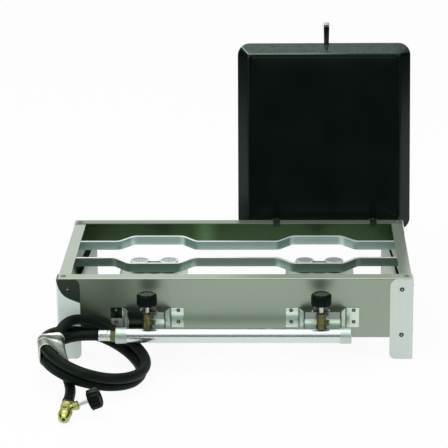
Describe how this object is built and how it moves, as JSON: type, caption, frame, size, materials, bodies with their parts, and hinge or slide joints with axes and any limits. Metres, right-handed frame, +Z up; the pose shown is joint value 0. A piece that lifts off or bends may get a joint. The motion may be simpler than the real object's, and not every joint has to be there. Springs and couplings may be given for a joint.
{
  "type": "portable camping stove",
  "caption": "Low two-burner gas camping stove: sheet-metal frame on legs, grate bars, front manifold with taps, hose with valve, and a hinged griddle that folds over one burner.",
  "frame": {"origin": "on the floor, under the middle of the stove's box with the griddle open, without its hose", "axes": "+X to the right along the front panel, +Y from the front panel to the rear, +Z up"},
  "size_m": [0.6419, 0.7392, 0.4932],
  "materials": {
    "stainless_sheet": "satin, brushed lengthwise",
    "bright_leg": "bright, nearly mirror",
    "rivet_metal": "satin",
    "screw_steel": "zinc plated",
    "zinc_bar": "galvanised, semi-gloss",
    "cast_burner": "rough cast, aluminium paint",
    "cap_plate": "pressed plate",
    "tray_sheet": "galvanised",
    "bracket_sheet": "bright",
    "brass": "turned, slightly dull",
    "stem_steel": "turned",
    "knob_plastic": "moulded, satin",
    "manifold_zinc": "bright zinc plate",
    "cap_metal": "matt",
    "ferrule_metal": "crimped, bright",
    "hose_rubber": "matt black",
    "band_metal": "folded foil band, bare",
    "sleeve_rubber": "matt black",
    "black_enamel": "gloss black enamel",
    "hinge_steel": "plain steel, dull"
  },
  "bodies": {
    "root": {"front_panel": "stainless_sheet", "rear_panel": "stainless_sheet", "left_side_panel": "stainless_sheet", "right_side_panel": "stainless_sheet", "front_left_leg": "bright_leg", "front_right_leg": "bright_leg", "rear_left_leg": "bright_leg", "rear_right_leg": "bright_leg", "leg_rivets": "rivet_metal", "bracket_rivets": "rivet_metal", "corner_screws": "screw_steel", "front_grate_bar": "zinc_bar", "rear_grate_bar": "zinc_bar", "left_burner_body": "cast_burner", "right_burner_body": "cast_burner", "left_burner_caps": "cap_plate", "right_burner_caps": "cap_plate", "left_burner_tray": "tray_sheet", "right_burner_tray": "tray_sheet", "left_valve_bracket": "bracket_sheet", "right_valve_bracket": "bracket_sheet", "left_valve_body": "brass", "right_valve_body": "brass", "left_gas_jet": "brass", "right_gas_jet": "brass", "inlet_nut": "brass", "cylinder_valve_body": "brass", "cylinder_valve_nut": "brass", "manifold_tube": "manifold_zinc", "left_manifold_cap": "cap_metal", "right_manifold_cap": "cap_metal", "hose_ferrule": "ferrule_metal", "gas_hose": "hose_rubber", "coil_strap": "band_metal", "hose_end_sleeve": "sleeve_rubber", "hinge_clips": "hinge_steel", "hinge_pins": "hinge_steel"},
    "griddle": {"griddle_pan": "black_enamel", "griddle_handle": "black_enamel", "griddle_hinge_straps": "black_enamel"},
    "left_tap": {"left_knob": "knob_plastic", "left_valve_stem": "stem_steel"},
    "right_tap": {"right_knob": "knob_plastic", "right_valve_stem": "stem_steel"},
    "cylinder_tap": {"cylinder_valve_knob": "knob_plastic", "cylinder_valve_spindle": "stem_steel"}
  },
  "joints": [
    {"name": "griddle_hinge", "type": "hinge", "parent": "root", "child": "griddle", "pos_m": [0.15175, 0.14438, 0.1425], "axis": [1, 0, 0], "range_deg": [0, 101.5]},
    {"name": "left_tap_turn", "type": "hinge", "parent": "root", "child": "left_tap", "pos_m": [-0.15275, -0.23512, 0.1], "axis": [0, 0, 1], "range_deg": [0, 270]},
    {"name": "right_tap_turn", "type": "hinge", "parent": "root", "child": "right_tap", "pos_m": [0.13925, -0.23512, 0.1], "axis": [0, 0, 1], "range_deg": [0, 270]},
    {"name": "cylinder_tap_turn", "type": "hinge", "parent": "root", "child": "cylinder_tap", "pos_m": [-0.27025, -0.44512, 0.012], "axis": [0.9272, 0, 0.3746], "range_deg": [0, 360]}
  ]
}
